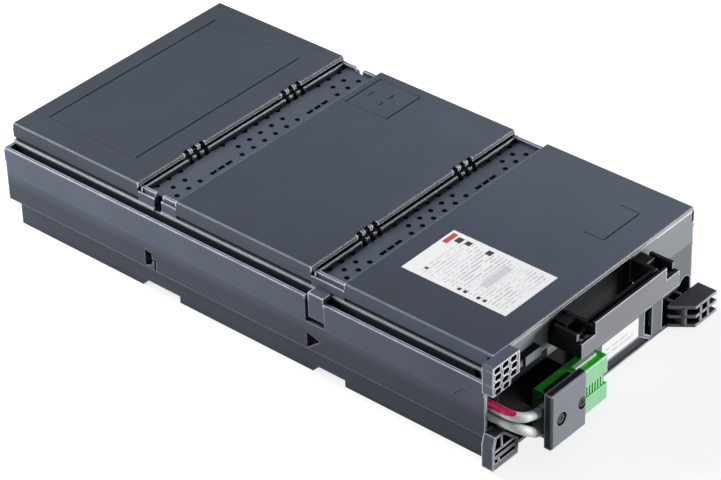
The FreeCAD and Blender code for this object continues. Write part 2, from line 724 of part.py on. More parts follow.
def foam_pads():
    dx, dy = foam_inset
    return Part.makeCompound([box(cx - BX / 2.0 + dx, cx + BX / 2.0 - dx, y0 + dy, y0 + BY - dy,
                                  block_top, lid_under) for cx, y0, face in block_places()])


# ---------------------------------------------------------------- leads
def sleeve_end(row):
    y, face = terminal_y(row)
    return y + face * (tab_foot[1] + sleeve_size[1])


def pole_z(k):
    return plug_middle + k * pole_pitch / 2.0


lead_end_x = plug_x[0] + 16.0


def lead_route(row, run_z, pole):
    """From the outer left terminal of a row, forward along the corridor, round the cut-away
    corner and into one pole of the connector."""
    x, y0, z = -column_x - tab_x, sleeve_end(row), pole_z(pole)
    turn_y = y0 + lead_turn
    out_x = corridor_x - 5.5
    return [(x, y0, tab_z), (x, turn_y, tab_z), (corridor_x, turn_y + 2.0, run_z),
            (corridor_x, front_y + 36.0, run_z), (out_x, front_y + 12.0, run_z),
            (out_x, front_y - lead_reach, run_z - 0.5), (plug_x[0] - 7.0, entry_y - 1.6, z - 0.6),
            (plug_x[0] + 4.0, entry_y, z), (lead_end_x, entry_y, z)]


def positive_lead():
    return tube("positive_lead", lead_route(2, upper_lead_z, 1), lead_dia, 12)


def negative_lead():
    return tube("negative_lead", lead_route(1, lower_lead_z, -1), lead_dia, 12)


def link_leads():
    """Five short links that put the six blocks in series."""
    a, b = column_x - tab_x, column_x + tab_x
    z, over, along_z = tab_z, tab_z + link_rise, T - link_drop
    near, far = link_turn, link_turn + 2.0
    rear, mid, front = sleeve_end(0), sleeve_end(1), sleeve_end(2)
    side = HW - wall - 5.0
    routes = [
        [(-a, front, z), (-a, front + near, z), (a, front + near, z), (a, front, z)],
        [(b, front, z), (b, front + near, z), (side, front + far, along_z), (side, mid + far, along_z),
         (b, mid + near, z), (b, mid, z)],
        [(a, mid, z), (a, rear, z)],
        [(b, rear, z), (b, rear - near, over), (-a, rear - near, over), (-a, rear, z)],
        [(-b, rear, z), (-b, rear - near, z), (-a, mid + far, z), (-a, mid, z)],
    ]
    return Part.makeCompound([tube("link_%d" % (i + 1), route, link_dia, 6)
                              for i, route in enumerate(routes)])


# ---------------------------------------------------------------- connector
def connector_housing():
    """Two-pole housing: open sockets at the right end, ribbed grip recesses, lead bores at the left."""
    x0, x1 = plug_x
    y0, y1 = plug_y
    z0, z1 = plug_z
    my = (y0 + y1) / 2.0
    body = round_edges(box(x0, x1, y0, y1, z0, z1), plug_round, lambda e: along(e, 0))
    body = fuse([body, box(x1 - 27.0, x1 - 5.0, my - 2.6, my + 1.2, z1 - 0.5, z1 + 1.8)])
    grip = x1 - socket_depth
    grip_half, grip_depth = 4.4, 2.4
    notch = 2.2
    tools = [box(x1 - 3.0, x1 + 1, y0 - 1, y1 + 1, plug_middle - notch, plug_middle + notch),
             box(grip, x1 + 1, y0 - 1, y0 + grip_depth, plug_middle - grip_half, plug_middle + grip_half),
             box(grip, x1 + 1, y1 - grip_depth, y1 + 1, plug_middle - grip_half, plug_middle + grip_half)]
    for k in (-1, 1):
        z = pole_z(k)
        tools.append(box(grip, x1 + 1, my - socket_half[0], my + socket_half[0],
                         z - socket_half[1], z + socket_half[1]))
        tools.append(rod(lead_dia / 2.0 + 0.4, V(x0 - 1, entry_y, z), V(grip + 2.0 - x0, 0, 0)))
    for x in plate_screw_x:
        tools.append(shank(plate_screw[2] / 2.0, V(x, y0 - 0.5, plate_screw_z),
                           V(0, plate_screw_grip + 1.0, 0)))
    rib, pitch = 1.3, 2.9
    ribs = [box(grip + 2.0 + i * pitch, grip + 2.0 + i * pitch + rib, y0 + 1.2, y0 + grip_depth + 0.5,
                plug_middle - grip_half - 0.2, plug_middle + grip_half + 0.2) for i in range(9)]
    return fuse([cut(body, tools)] + ribs)


def connector_contacts():
    my = (plug_y[0] + plug_y[1]) / 2.0
    root = plug_x[1] - socket_depth + 3.0
    half, tip, length = 4.5, 3.6, 19.0
    solids = []
    for k in (-1, 1):
        z = pole_z(k)
        barrel = rod(lead_dia / 2.0, V(lead_end_x, entry_y, z), V(root + 1.0 - lead_end_x, 0, 0))
        tongue = prism_xz([(root, z - half), (root + length - 2.0, z - half), (root + length, z - tip),
                           (root + length, z + tip), (root + length - 2.0, z + half), (root, z + half)],
                          my - 1.2, my + 1.2)
        solids.append(fuse([barrel, tongue]))
    return Part.makeCompound(solids)


def cover_plate():
    """Plate screwed to the front of the connector, with a lip over its top."""
    x0, x1 = plate_x
    z0, z1 = plate_z
    y1 = plug_y[0]
    y0 = y1 - plate_size[1]
    body = box(x0, x1, y0, y1, z0, z1)
    body = bevel_edges(body, plate_edge, lambda e: all(abs(v.Point.y - y0) < 1e-4 for v in e.Vertexes))
    lip, rise = plate_lip
    body = fuse([body, box(plug_x[0] + 1.1, x1 - 1, y1 - 0.5, y1 + lip, plug_z[1], plug_z[1] + rise)])
    tools = []
    for x in plate_screw_x:
        tools.append(shank(plate_screw[2] / 2.0 + 0.2, V(x, y0 - 1, plate_screw_z),
                           V(0, plate_size[1] + 2, 0)))
        tools.append(rod(plate_recess[0] / 2.0, V(x, y0 - 1, plate_screw_z), V(0, plate_recess[1] + 1, 0)))
    return cut(body, tools)


def cover_screws():
    seat = plug_y[0] - plate_size[1] + plate_recess[1]
    top, tip = seat - plate_screw[1], plug_y[0] + plate_screw_grip
    arm, bar, deep = 1.8, 0.4, 1.0
    z = plate_screw_z
    solids = []
    for x in plate_screw_x:
        screw = fuse([rod(plate_screw[0] / 2.0, V(x, top, z), V(0, plate_screw[1], 0)),
                      shank(plate_screw[2] / 2.0, V(x, seat, z), V(0, tip - seat, 0))])
        solids.append(cut(screw, [box(x - arm, x + arm, top - 1, top + deep, z - bar, z + bar),
                                  box(x - bar, x + bar, top - 1, top + deep, z - arm, z + arm)]))
    return Part.makeCompound(solids)


# ---------------------------------------------------------------- handle
def pull_handle():
    """Hollow bar between two stepped arms; the outer parts of the bar lie lower as ears."""
    t = handle_wall
    top, low = T - handle_drops[0], T - handle_drops[1]
    ear, arm, back = T - handle_ear_drop, T - handle_arm_drop, T - handle_back_drop
    m, h = handle_main, handle_half
    knee = h - handle_step
    block_y = front_y - 11.0
    parts = [box(-m, m, bar_front, bar_front + t, low, top),
             box(-h, h, bar_front, bar_front + t, low, ear),
             box(-m, m, bar_back - t, bar_back, low, back),
             box(-h, h, bar_front, bar_back, low, low + t)]
    for x in (-m + t / 2.0, 0.0, m - t / 2.0):
        parts.append(box(x - t / 2.0, x + t / 2.0, bar_front, bar_back, low, back - 1.0))
    for s in (-1, 1):
        # cheeks and floor of an arm, the stepped cover at the wall and the screw bosses
        parts.append(box(s * (m - t), s * m, bar_back - t, front_y, low, back))
        parts.append(box(s * (h - t), s * h, bar_front, front_y, low, ear))
        parts.append(box(s * (h - t), s * h, bar_front + 4.4, front_y - 5.0, low, arm))
        parts.append(box(s * (m - 0.5), s * h, bar_front, front_y, low, low + t))
        parts.append(box(s * (m - 0.5), s * (h - 0.5), bar_front, bar_back, low, ear - handle_screw_sink))
        parts.append(box(s * (m - 0.5), s * knee, block_y, front_y, arm - t, arm))
        parts.append(box(s * (knee - t), s * knee, block_y, front_y, ear - t, arm))
        parts.append(box(s * (knee - t), s * h, block_y, front_y, ear - t - 1.0, ear - 1.0))
        parts.append(box(s * (m - 0.5), s * (h - 0.5), front_y - t, front_y, low, ear - 2.0))
        parts.append(box(s * (m - 0.5), s * (h - 0.5), bar_back - t, bar_back, low, ear + 0.6))
    handle = fuse(parts)
    return cut(handle, [shank(handle_screw[2] / 2.0 + 0.1, V(x, y, low + t), V(0, 0, ear - low))
                        for x, y in handle_screw_places()])


def handle_screw_places():
    r = handle_screw[0] / 2.0
    inner, outer = handle_main + 1.3 + r, handle_half - handle_wall - 0.2 - r
    y = bar_front + handle_depth / 2.0
    return [(s * x, y) for s in (-1, 1) for x in (inner, outer)]


def handle_screws():
    seat = T - handle_ear_drop - handle_screw_sink
    head, height, core = handle_screw
    tip = seat - handle_screw_length
    solids = []
    for x, y in handle_screw_places():
        solids.append(fuse([rod(head / 2.0, V(x, y, seat), V(0, 0, height)),
                            shank(core / 2.0, V(x, y, tip), V(0, 0, handle_screw_length + 1.0))]))
    return Part.makeCompound(solids)


# ---------------------------------------------------------------- labels
def main_label():
    x0, y0 = -HW + label_in[0], front_y + label_in[1]
    return box(x0, x0 + label_size[0], y0, y0 + label_size[1], T, T + label_thick)


def front_label():
    x0, z1 = front_label_left, T - front_label_drop
    return box(x0, x0 + front_label_size[0], front_y - label_thick, front_y, z1 - front_label_size[1], z1)


# ---------------------------------------------------------------- export
def all_parts():
    parts = {
        "base_tray": base_tray(),
        "top_frame": top_frame(),
        "rear_lid": rear_lid(),
        "middle_lid": middle_lid(),
        "front_lid": front_lid(),
        "terminal_tabs": terminal_tabs(),
        "tab_sleeves": tab_sleeves(),
        "foam_pads": foam_pads(),
        "positive_lead": positive_lead(),
        "negative_lead": negative_lead(),
        "link_leads": link_leads(),
        "connector_housing": connector_housing(),
        "connector_contacts": connector_contacts(),
        "cover_plate": cover_plate(),
        "cover_screws": cover_screws(),
        "pull_handle": pull_handle(),
        "handle_screws": handle_screws(),
        "main_label": main_label(),
        "front_label": front_label(),
    }
    names = ("rear_left", "rear_right", "middle_left", "middle_right", "front_left", "front_right")
    for name, (cx, y0, face) in zip(names, block_places()):
        parts["block_" + name] = sealed_block(cx, y0, face)
    return parts


os.makedirs("parts", exist_ok=True)
for name, shape in all_parts().items():
    solids = shape.Solids
    print("%-20s solids %d valid %s volume %.1f cm3"
          % (name, len(solids), shape.isValid(), shape.Volume / 1000.0))
    if len(solids) == 1:
        shape = solids[0]
    shape.exportStep("parts/%s.step" % name)
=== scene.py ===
import bpy
import math
from mathutils import Matrix, Vector


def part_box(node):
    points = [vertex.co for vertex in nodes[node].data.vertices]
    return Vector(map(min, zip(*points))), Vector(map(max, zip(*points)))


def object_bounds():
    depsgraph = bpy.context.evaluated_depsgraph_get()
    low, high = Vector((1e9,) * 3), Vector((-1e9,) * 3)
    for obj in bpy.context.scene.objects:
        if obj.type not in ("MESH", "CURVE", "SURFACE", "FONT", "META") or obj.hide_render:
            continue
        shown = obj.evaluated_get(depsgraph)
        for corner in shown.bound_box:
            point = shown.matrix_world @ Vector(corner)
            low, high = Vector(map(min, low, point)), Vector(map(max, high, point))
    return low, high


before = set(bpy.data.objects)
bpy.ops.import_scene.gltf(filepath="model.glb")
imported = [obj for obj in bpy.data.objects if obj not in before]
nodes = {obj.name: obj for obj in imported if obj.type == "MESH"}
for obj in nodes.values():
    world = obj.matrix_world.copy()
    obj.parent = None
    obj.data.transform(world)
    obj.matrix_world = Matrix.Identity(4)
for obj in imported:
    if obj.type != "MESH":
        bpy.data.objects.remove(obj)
cad_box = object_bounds()

# ---------------------------------------------------------------- places on the part (metres)
LIDS = ("rear_lid", "middle_lid", "front_lid")
front_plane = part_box("front_lid")[0].y + 0.0004    # the front end lies ahead of it
lid_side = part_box("front_lid")[1].x - 0.0010       # just inside the side faces of the lids
case_front, case_back = -0.2160, 0.2200            # reach of the boxes along the sides
fade_top, fade_depth = 0.050, 0.012                # painted shade: the sides darken downward from this height
seam = 0.0569                                      # height of the seam across the front end
rim_above = 0.072                                  # front rims above this height get a painted white highlight

# ---------------------------------------------------------------- camera (metres, degrees, millimetres)
camera_place = Vector((-1.28473, -1.16683, 1.22573))
camera_heading, camera_drop, camera_roll = 48.063, 34.766, -1.796
lens_mm, sensor_mm = 150.86, 36.0

# ---------------------------------------------------------------- lamps
# name, direction and distance from the middle of the object, size, power in watts
LAMPS = (("front_lamp", (0.60, -0.78, 0.10), 2.2, (1.2, 0.4), 50.0),
         ("left_lamp", (-0.84, 0.53, 0.10), 0.90, (0.5, 0.3), 5.2),
         ("back_lamp", (-0.15, 0.80, 0.58), 2.2, (1.0, 1.0), 74.0))

# ---------------------------------------------------------------- colours (linear)
WHITE = (1.0, 1.0, 1.0)
SKY = (0.96, 0.98, 1.0, 1.0)
SHELL = (0.088, 0.100, 0.138)
# painted light: lit copy of the shell colour for the faces that look forward
SHELL_FRONT_LIT = (0.255, 0.276, 0.292)
LID = (0.052, 0.061, 0.080)
# black plastic, darkened further as painted shade on the handle's top, sides and inside
HANDLE = (0.008, 0.009, 0.010)
# painted light: lit copy of the handle colour for its front faces
HANDLE_FRONT_LIT = (0.240, 0.250, 0.272)
COVER = (0.034, 0.037, 0.043)
# painted light: lit copy of the plate colour for its front faces
COVER_FRONT_LIT = (0.230, 0.252, 0.278)
# pale edges: partly wear, partly painted highlight
EDGE_WEAR_AND_HIGHLIGHT = (0.620, 0.650, 0.730)
GREEN = (0.022, 0.840, 0.028)
# painted light: lit copy of the green for its front faces
GREEN_FRONT_LIT = (0.300, 0.640, 0.360)
# painted highlights on the green edges and its upper rim
GREEN_EDGE_HIGHLIGHT = (0.560, 0.950, 0.600)
GREEN_RIM_HIGHLIGHT = (0.860, 0.980, 0.870)
LEAD_WHITE = (0.92, 0.92, 0.92)
LEAD_DIRT = (0.50, 0.50, 0.49)
# painted shade on the leads toward the connector
LEAD_SHADE = (0.16, 0.16, 0.17)
LEAD_PINK = (0.95, 0.02, 0.15)
# painted shade in the crevices of the leads
CORNER_SHADE = (0.05, 0.05, 0.055)
PAPER = (0.90, 0.90, 0.91)
PRINT_PALE = (0.76, 0.76, 0.80)
PRINT_GREY = (0.50, 0.50, 0.53)
PRINT_FIELD = (0.50, 0.50, 0.54)
PRINT_LINE = (0.55, 0.56, 0.60)
PRINT_DARK = (0.02, 0.02, 0.02)
PRINT_RED = (0.62, 0.08, 0.07)
FOAM_DARK = (0.040, 0.040, 0.042)
FOAM_LIGHT = (0.075, 0.075, 0.078)
BLOCK_BLACK = (0.030, 0.030, 0.033)
SLEEVE_RED = (0.55, 0.05, 0.04)
LINK_BLACK = (0.03, 0.03, 0.03)
SCREW_BLACK = (0.020, 0.020, 0.022)
SCREW_STEEL = (0.78, 0.78, 0.79)
TIN = (0.66, 0.66, 0.62)
CONTACT = (0.80, 0.79, 0.74)


def scaled(colour, factor):
    return tuple(channel * factor for channel in colour)


# ---------------------------------------------------------------- node helpers
class Graph:
    """Short way to add shader nodes to one material."""

    def __init__(self, name):
        self.material = bpy.data.materials.new(name)
        self.material.use_nodes = True
        self.tree = self.material.node_tree
        self.shader = self.tree.nodes["Principled BSDF"]
        self.place = self.add("ShaderNodeTexCoord").outputs["Object"]

    def add(self, kind, **values):
        node = self.tree.nodes.new(kind)
        for key, value in values.items():
            setattr(node, key, value)
        return node

    def link(self, source, target):
        """Link an output to the socket, or set the socket to a number or a colour."""
        if isinstance(source, (int, float)):
            target.default_value = source
        elif isinstance(source, tuple):
            target.default_value = source if len(source) == len(target.default_value) else source + (1.0,)
        else:
            self.tree.links.new(source, target)

    def math(self, operation, a, b=0.0, clamp=False):
        node = self.add("ShaderNodeMath", operation=operation, use_clamp=clamp)
        self.link(a, node.inputs[0])
        self.link(b, node.inputs[1])
        return node.outputs[0]

    def times(self, a, b):
        return self.math("MULTIPLY", a, b)

    def parts(self, vector):
        node = self.add("ShaderNodeSeparateXYZ")
        self.link(vector, node.inputs[0])
        return node.outputs[0], node.outputs[1], node.outputs[2]

    def axes(self):
        return self.parts(self.place)

    def noise(self, scale, detail, stretch=(1.0, 1.0, 1.0)):
        mapping = self.add("ShaderNodeMapping")
        mapping.inputs["Scale"].default_value = stretch
        self.link(self.place, mapping.inputs["Vector"])
        node = self.add("ShaderNodeTexNoise")
        self.link(mapping.outputs[0], node.inputs["Vector"])
        for socket, value in (("Scale", scale), ("Detail", detail), ("Roughness", 0.55)):
            node.inputs[socket].default_value = value
        return node.outputs["Fac"]

    def spread(self, source, low, high, to_low=0.0, to_high=1.0):
        """The source's range low to high carried over to to_low to to_high, and held beyond it."""
        node = self.add("ShaderNodeMapRange")
        self.link(source, node.inputs["Value"])
        for socket, value in zip(("From Min", "From Max", "To Min", "To Max"), (low, high, to_low, to_high)):
            node.inputs[socket].default_value = value
        return node.outputs[0]

    def between(self, factor, low, high):
        """low to high as the factor goes from 0 to 1."""
        return self.spread(factor, 0.0, 1.0, low, high)

    def mix(self, factor, a, b):
        node = self.add("ShaderNodeMix", data_type="RGBA")
        self.link(factor, node.inputs["Factor"])
        self.link(a, node.inputs["A"])
        self.link(b, node.inputs["B"])
        return node.outputs["Result"]

    def shades(self, factor, colour, low, high):
        """The colour, from low to high times its strength."""
        return self.mix(factor, scaled(colour, low), scaled(colour, high))

    def band(self, source, low, high):
        """1 where source lies between low and high."""
        return self.times(self.math("GREATER_THAN", source, low), self.math("LESS_THAN", source, high))

    def rounded(self, radius):
        """Normal that turns smoothly over the sharp edges."""
        bevel = self.add("ShaderNodeBevel", samples=6)
        bevel.inputs["Radius"].default_value = radius
        return bevel.outputs[0]

    def occlusion(self, distance, inside):
        node = self.add("ShaderNodeAmbientOcclusion", samples=8, inside=inside, only_local=inside)
        node.inputs["Distance"].default_value = distance
        return node.outputs["AO"]

    def edges(self, width):
        """1 on the outer edges, fading out over the given width."""
        flat, sharp = 0.90, 0.62
        return self.spread(self.occlusion(width, True), flat, sharp)

    def crevices(self, reach):
        """1 deep in the corners and gaps."""
        shallow, deep = 0.80, 0.25
        return self.spread(self.occlusion(reach, False), shallow, deep)

    def facing_front(self):
        """1 on the faces of the front end that look along -Y."""
        least_turn = -0.3
        facing_y = self.parts(self.add("ShaderNodeNewGeometry").outputs["Normal"])[1]
        ahead = self.math("LESS_THAN", self.axes()[1], front_plane)
        return self.times(ahead, self.math("LESS_THAN", facing_y, least_turn))

    def within(self, boxes):
        """1 inside any of the boxes, each given as its low and high corner and, if not 1, its amount."""
        total = 0.0
        for low, high, *amount in boxes:
            inside = amount[0] if amount else 1.0
            for source, a, b in zip(self.axes(), low, high):
                inside = self.times(inside, self.band(source, a, b))
            total = self.math("MAXIMUM", total, inside)
        return total

    def bump(self, height, strength, depth, normal=None):
        node = self.add("ShaderNodeBump")
        node.inputs["Strength"].default_value = strength
        node.inputs["Distance"].default_value = depth
        self.link(height, node.inputs["Height"])
        if normal is not None:
            self.link(normal, node.inputs["Normal"])
        return node.outputs[0]

    def finish(self, colour, roughness, normal):
        self.link(colour, self.shader.inputs["Base Color"])
        self.link(roughness, self.shader.inputs["Roughness"])
        self.link(normal, self.shader.inputs["Normal"])
        return self.material


# ---------------------------------------------------------------- plastics
def side_colour(g, colour, painted_light_factor, cloud):
    """Mottled colour with faint streaks; painted light makes it paler by a factor toward the front right and
    on the lids' left faces, and painted shade makes it darker low on the sides."""
    streak = g.spread(g.noise(60.0, 3.0, stretch=(1.0, 0.12, 1.0)), 0.45, 0.75)
    base = g.mix(g.times(streak, 0.10), g.shades(cloud, colour, 0.94, 1.06), scaled(colour, 1.30))
    across, along, height = g.axes()
    # painted light: paler toward the front right and on the lids' left faces
    left_face = g.spread(across, -lid_side, 0.0004 - lid_side, 0.75, 0.0)
    to_right = g.math("MAXIMUM", g.spread(across, -0.11, 0.09), left_face)
    painted_light_mask = g.times(g.spread(along, 0.20, -0.20), to_right)
    base = g.mix(painted_light_mask, base, g.shades(cloud, colour, 0.96 * painted_light_factor, 1.04 * painted_light_factor))
    # painted shade: darker low on the sides
    return g.mix(g.spread(height, fade_top, fade_top - fade_depth, 0.0, 0.60), base, scaled(colour, 0.2))


def lit_front_colour(g, front, shade_below_seam, cloud):
    """Painted light: the pale colour of the faces that look forward, weaker by a factor below the seam
    as painted shade.
    """
    below = g.math("LESS_THAN", g.axes()[2], seam)
    return g.mix(below, g.shades(cloud, front, 0.96, 1.04), scaled(front, shade_below_seam))


def pale_edges(g, base, edges, smooth):
    """Pale outer edges, partly wear and partly painted highlight, and a painted white highlight on the high
    rims that turn to the front.
    """
    wear_and_highlight = g.times(edges, g.spread(g.noise(90.0, 4.0), 0.30, 0.60, 0.60, 1.0))
    base = g.mix(wear_and_highlight, base, EDGE_WEAR_AND_HIGHLIGHT)
    rim_highlight = g.times(wear_and_highlight, g.spread(g.parts(smooth)[1], -0.10, -0.45, 0.0, 0.9))
    return g.mix(g.times(rim_highlight, g.math("GREATER_THAN", g.axes()[2], rim_above)), base, WHITE)


def moulded_plastic(name, colour, front, painted_shade=(), painted_shadow=(), painted_light=(), quiet=(), painted_light_factor=1.0,
                    shade_below_seam=1.0, grain=0.12, edge=0.0014):
    """Moulded plastic: fine spark-eroded grain, cloudy handling marks, pale front faces of painted light,
    pale edges that are partly wear and partly painted highlight, and painted shade in the corners. Boxes:
    all but the front faces are black with painted shade in the shaded ones, and every face is black with
    painted shadow in the sooty ones; faces in the dusty ones are pale with painted light; edges in the
    quiet ones are not paled."""
    edge_round, shade_reach = 0.0008, 0.010
    grain_scale, grain_depth = 3200.0, 0.00006
    g = Graph(name)
    g.shader.inputs["Specular IOR Level"].default_value = 0.14
    cloud = g.spread(g.noise(22.0, 4.0), 0.35, 0.68)
    base = side_colour(g, colour, painted_light_factor, cloud)
    # painted shade: all but the front faces go near black in the shaded boxes
    base = g.mix(g.within(painted_shade), base, scaled(colour, 0.08))
    # painted light: the faces that look forward, and the boxes given for it, take the lit colour
    pale = g.math("MAXIMUM", g.facing_front(), g.within(painted_light))
    base = g.mix(pale, base, lit_front_colour(g, front, shade_below_seam, cloud))
    # painted shadow: every face goes near black in the sooty boxes
    base = g.mix(g.within(painted_shadow), base, scaled(colour, 0.06))
    smooth = g.rounded(edge_round)
    edges = g.times(g.edges(edge), g.math("SUBTRACT", 1.0, g.within(quiet)))
    # pale edges, partly wear and partly painted highlight, but not in the quiet boxes
    base = pale_edges(g, base, edges, smooth)
    # painted shade: darker in the corners and gaps
    base = g.mix(g.times(g.crevices(shade_reach), 0.92), base, scaled(colour, 0.04))
    rough = g.math("SUBTRACT", g.between(cloud, 0.50, 0.44), g.times(edges, 0.06))
    return g.finish(base, rough, g.bump(g.noise(grain_scale, 2.0), grain, grain_depth, smooth))


def plain_moulding(name, colour, rough):
    """Smaller moulded piece with a light mottle."""
    g = Graph(name)
    mottle = g.spread(g.noise(140.0, 3.0), 0.35, 0.65)
    base = g.shades(mottle, colour, 0.92, 1.08)
    # pale edges: partly wear, partly painted highlight
    base = g.mix(g.times(g.edges(0.0008), 0.35), base, scaled(colour, 1.6))
    return g.finish(base, g.between(mottle, rough + 0.05, rough - 0.05),
                    g.bump(g.noise(2600.0, 2.0), 0.10, 0.00005, g.rounded(0.0005)))


def green_plastic():
    """Nylon housing: cloudy deep green, with painted light on its front, painted highlights on its upper
    rim and its edges, and painted shade on its left end and in its corners."""
    g = Graph("connector_green")
    low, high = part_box("connector_housing")
    rim_depth, end_depth = 0.0005, 0.0004
    across, _, height = g.axes()
    cloud = g.spread(g.noise(160.0, 3.0), 0.35, 0.65)
    # painted light: the front faces take the pale lit green
    painted_front_sheen = g.shades(cloud, GREEN_FRONT_LIT, 0.94, 1.0)
    base = g.mix(g.facing_front(), g.shades(cloud, GREEN, 0.85, 1.15), painted_front_sheen)
    # painted highlights: pale edges and a nearly white upper rim
    base = g.mix(g.times(g.edges(0.0012), 0.55), base, GREEN_EDGE_HIGHLIGHT)
    base = g.mix(g.math("GREATER_THAN", height, high.z - rim_depth), base, GREEN_RIM_HIGHLIGHT)
    # painted shade: the left end near black, and darker corners and gaps
    base = g.mix(g.math("LESS_THAN", across, low.x + end_depth), base, scaled(GREEN, 0.08))
    base = g.mix(g.times(g.crevices(0.006), 0.25), base, scaled(GREEN, 0.20))
    return g.finish(base, g.between(cloud, 0.32, 0.42),
                    g.bump(g.noise(1500.0, 2.0), 0.10, 0.00005, g.rounded(0.0007)))


# ---------------------------------------------------------------- leads, metal and foam
def lead_insulation(name, stripe):
    """White silicone insulation, with painted shade toward the connector and in its crevices, with or
    without a printed pink stripe.
    """
    g = Graph(name)
    across, along, _ = g.axes()
    dirt = g.spread(g.noise(120.0, 4.0), 0.42, 0.72)
    base = g.mix(g.times(dirt, 0.35), LEAD_WHITE, LEAD_DIRT)
    # painted shade: mottled grey toward the connector, ahead of the front end
    painted_shade_near_plug = g.times(g.spread(across, -0.0960, -0.0850), g.spread(g.noise(260.0, 3.0), 0.38, 0.60))
    base = g.mix(g.times(painted_shade_near_plug, g.math("LESS_THAN", along, front_plane)), base, LEAD_SHADE)
    if stripe:
        base = g.mix(stripe_mask(g), base, LEAD_PINK)
    # painted shade: darker in the crevices
    base = g.mix(g.times(g.crevices(0.004), 0.80), base, CORNER_SHADE)
    return g.finish(base, g.between(dirt, 0.30, 0.42),
                    g.bump(g.noise(900.0, 2.0), 0.15, 0.00008, g.rounded(0.0012)))


def stripe_mask(g):
    """Upper outer side of the positive lead, over its straight run ahead of the cut-away corner."""
    lead_x, lead_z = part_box("positive_lead")[0].x + 0.0034, 0.0432
    run_front, run_back = -0.2440, -0.2000
    reach, wander = 0.0016, 0.0022
    across, along, height = g.axes()
    outward = g.math("ADD", g.times(g.math("SUBTRACT", across, lead_x), -0.35),
                     g.times(g.math("SUBTRACT", height, lead_z), 0.94))
    shift = g.times(g.math("SUBTRACT", g.noise(160.0, 2.0), 0.5), wander)
    printed = g.math("GREATER_THAN", g.math("ADD", outward, shift), reach)
    return g.times(g.band(along, run_front, run_back), printed)


def metal(name, colour, rough):
    """Drawn metal with faint stains."""
    g = Graph(name)
    g.shader.inputs["Metallic"].default_value = 1.0
    stain = g.spread(g.noise(400.0, 3.0), 0.40, 0.70)
    base = g.mix(g.times(stain, 0.30), colour, scaled(colour, 0.72))
    return g.finish(base, g.between(stain, rough, rough + 0.12),
                    g.bump(g.noise(1200.0, 3.0, stretch=(1.0, 1.0, 0.1)), 0.08, 0.00004, g.rounded(0.0003)))


def foam_material():
    """Black open-cell foam."""
    g = Graph("foam")
    cells = g.add("ShaderNodeTexVoronoi")
    g.link(g.place, cells.inputs["Vector"])
    cells.inputs["Scale"].default_value = 700.0
    base = g.mix(cells.outputs["Distance"], FOAM_DARK, FOAM_LIGHT)
    return g.finish(base, 0.9, g.bump(cells.outputs["Distance"], 0.5, 0.0004))


# ---------------------------------------------------------------- labels
def paper(name, node, down_axis, draw):
    """Satin label film. draw prints on it by the distances from its upper left corner and its size."""
    g = Graph(name)
    low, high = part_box(node)
    place = g.axes()
    across = g.math("SUBTRACT", place[0], low.x)
    down = g.math("SUBTRACT", high[down_axis], place[down_axis])
    size = (high.x - low.x, high[down_axis] - low[down_axis])
    fleck = g.spread(g.noise(300.0, 3.0), 0.35, 0.65)
    base = draw(g, g.shades(fleck, PAPER, 0.98, 1.0), across, down, size)
    return g.finish(base, g.between(fleck, 0.34, 0.42), g.bump(g.noise(700.0, 2.0), 0.05, 0.00005))


def field(g, across, down, x0, x1, y0, y1):
    """1 inside an upright rectangle of the label."""
    return g.times(g.band(across, x0, x1), g.band(down, y0, y1))


def print_rows(g, across, down, pitch, fill):
    """Rows of short bars of uneven length, which stand for small print."""
    rows = g.math("DIVIDE", down, pitch)
    in_row = g.math("LESS_THAN", g.math("FRACT", rows), fill)
    word_scale, row_step, seed = 260.0, 7.31, 1.7
    spot = g.add("ShaderNodeCombineXYZ")
    place = (g.times(across, word_scale), g.times(g.math("FLOOR", rows), row_step), seed)
    for value, socket in zip(place, spot.inputs):
        g.link(value, socket)
    words = g.add("ShaderNodeTexNoise")
    g.link(spot.outputs[0], words.inputs["Vector"])
    words.inputs["Scale"].default_value = 1.0
    words.inputs["Detail"].default_value = 1.0
    return g.times(in_row, g.math("GREATER_THAN", words.outputs["Fac"], 0.44))


def print_main(g, base, across, down, size):
    """Rows of plain bars with a heavier field among them, a red field and a few dark marks."""
    margin, head = 0.004, 0.012
    text = g.times(print_rows(g, across, down, 0.0030, 0.36),
                   field(g, across, down, margin, size[0] - margin, head, size[1] - margin))
    base = g.mix(text, base, g.mix(g.spread(g.noise(45.0, 1.0), 0.35, 0.65), PRINT_PALE, PRINT_GREY))
    base = g.mix(g.times(field(g, across, down, 0.016, 0.043, 0.0525, 0.0590), 0.55), base, PRINT_FIELD)
    base = g.mix(field(g, across, down, 0.0390, 0.0515, 0.0020, 0.0062), base, PRINT_RED)
    marks = [(0.0440, 0.0500, 0.0080, 0.0130), (0.0455, 0.0500, 0.0155, 0.0200),
             (0.0455, 0.0505, 0.0330, 0.0378), (0.0080, 0.0105, 0.0125, 0.0150)]
    marks += [(0.0030, 0.0060, y0, y0 + 0.0025) for y0 in (0.0440, 0.0490, 0.0600, 0.0650)]
    for mark in marks:
        base = g.mix(g.times(field(g, across, down, *mark), 0.95), base, PRINT_DARK)
    return base


def print_front(g, base, across, down, size):
    """Two faint broken lines in the upper part."""
    left, thickness = 0.12, 0.0011
    for top, right in ((0.0062, 0.70), (0.0102, 0.86)):
        line = field(g, across, down, size[0] * left, size[0] * right, top, top + thickness)
        words = g.math("GREATER_THAN", g.noise(420.0, 1.0, stretch=(1.0, 0.05, 0.05)), 0.42)
        base = g.mix(g.times(line, words), base, PRINT_LINE)
    return base


